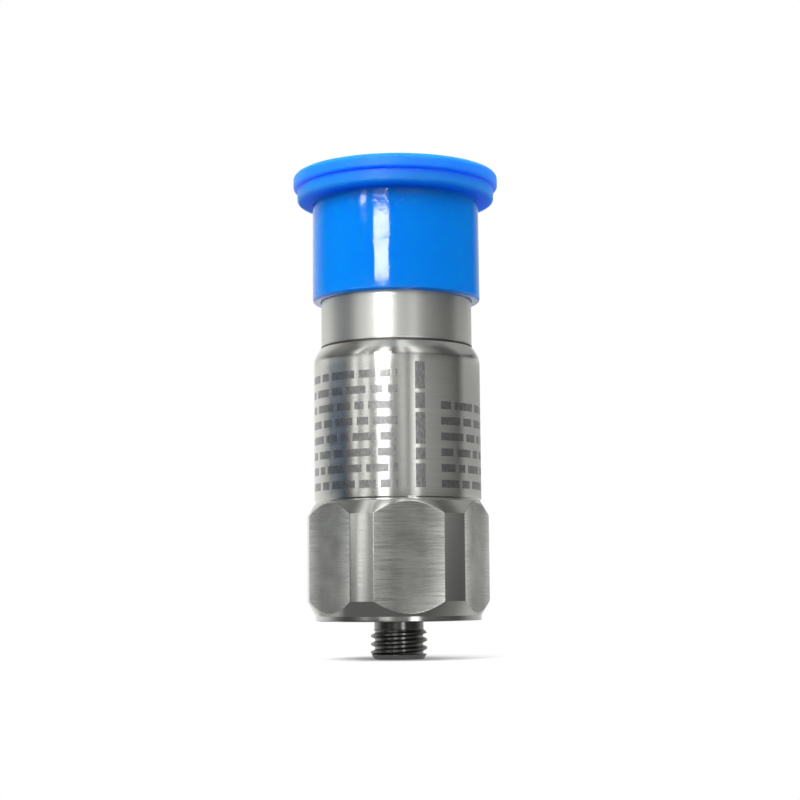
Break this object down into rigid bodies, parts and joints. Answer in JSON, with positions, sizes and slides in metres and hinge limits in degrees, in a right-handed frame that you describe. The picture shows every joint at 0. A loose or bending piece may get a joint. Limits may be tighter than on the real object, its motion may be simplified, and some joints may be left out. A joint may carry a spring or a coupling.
{
  "type": "vibration sensor",
  "caption": "Stud-mounted vibration sensor with a hexagonal base, a turned steel body and a threaded pin connector under a push-on dust cap.",
  "frame": {"origin": "centre of the mounting face, where the foot meets the machine", "axes": "+Z along the sensor's axis towards the connector, the stud points to -Z, flats of the hex face +Y and -Y, the connector's keyway is on the +Y side"},
  "size_m": [0.0234, 0.0234, 0.0552],
  "materials": {
    "stainless_steel": "turned and polished body, milled hex flats",
    "dark_steel": "dark thread, oiled",
    "satin_steel": "fine turned, satin",
    "seal_glass": "fused, glossy",
    "gold_plate": "plated",
    "blue_polyethylene": "moulded, semi-gloss",
    "amber_film": "smooth film",
    "alumina": "sintered, matte",
    "brass": "turned",
    "piezo_ceramic": "lapped, matte",
    "heavy_alloy": "ground",
    "black_plastic": "moulded, matte",
    "board_laminate": "solder mask",
    "tan_ceramic": "fired, matte",
    "copper_wire": "drawn"
  },
  "bodies": {
    "sensor": {"housing": "stainless_steel", "mounting_stud": "dark_steel", "connector_shell": "satin_steel", "glass_seal": "seal_glass", "contact_pin_a": "gold_plate", "contact_pin_b": "gold_plate", "insulating_sleeve": "amber_film", "isolation_disc": "alumina", "sensing_base": "brass", "crystal_1": "piezo_ceramic", "crystal_2": "piezo_ceramic", "crystal_3": "piezo_ceramic", "seismic_mass_1": "heavy_alloy", "seismic_mass_2": "heavy_alloy", "seismic_mass_3": "heavy_alloy", "preload_ring": "satin_steel", "shield_can": "brass", "board_spacer": "black_plastic", "circuit_board": "board_laminate", "amplifier_chip": "black_plastic", "chip_capacitors": "tan_ceramic", "chip_resistors": "black_plastic", "crystal_lead": "copper_wire", "output_lead_a": "copper_wire", "output_lead_b": "copper_wire"},
    "cap": {"dust_cap": "blue_polyethylene"}
  },
  "joints": [
    {"name": "cap_pull", "type": "slide", "parent": "sensor", "child": "cap", "axis": [0, 0, 1], "range_m": [0, 0.025]}
  ]
}
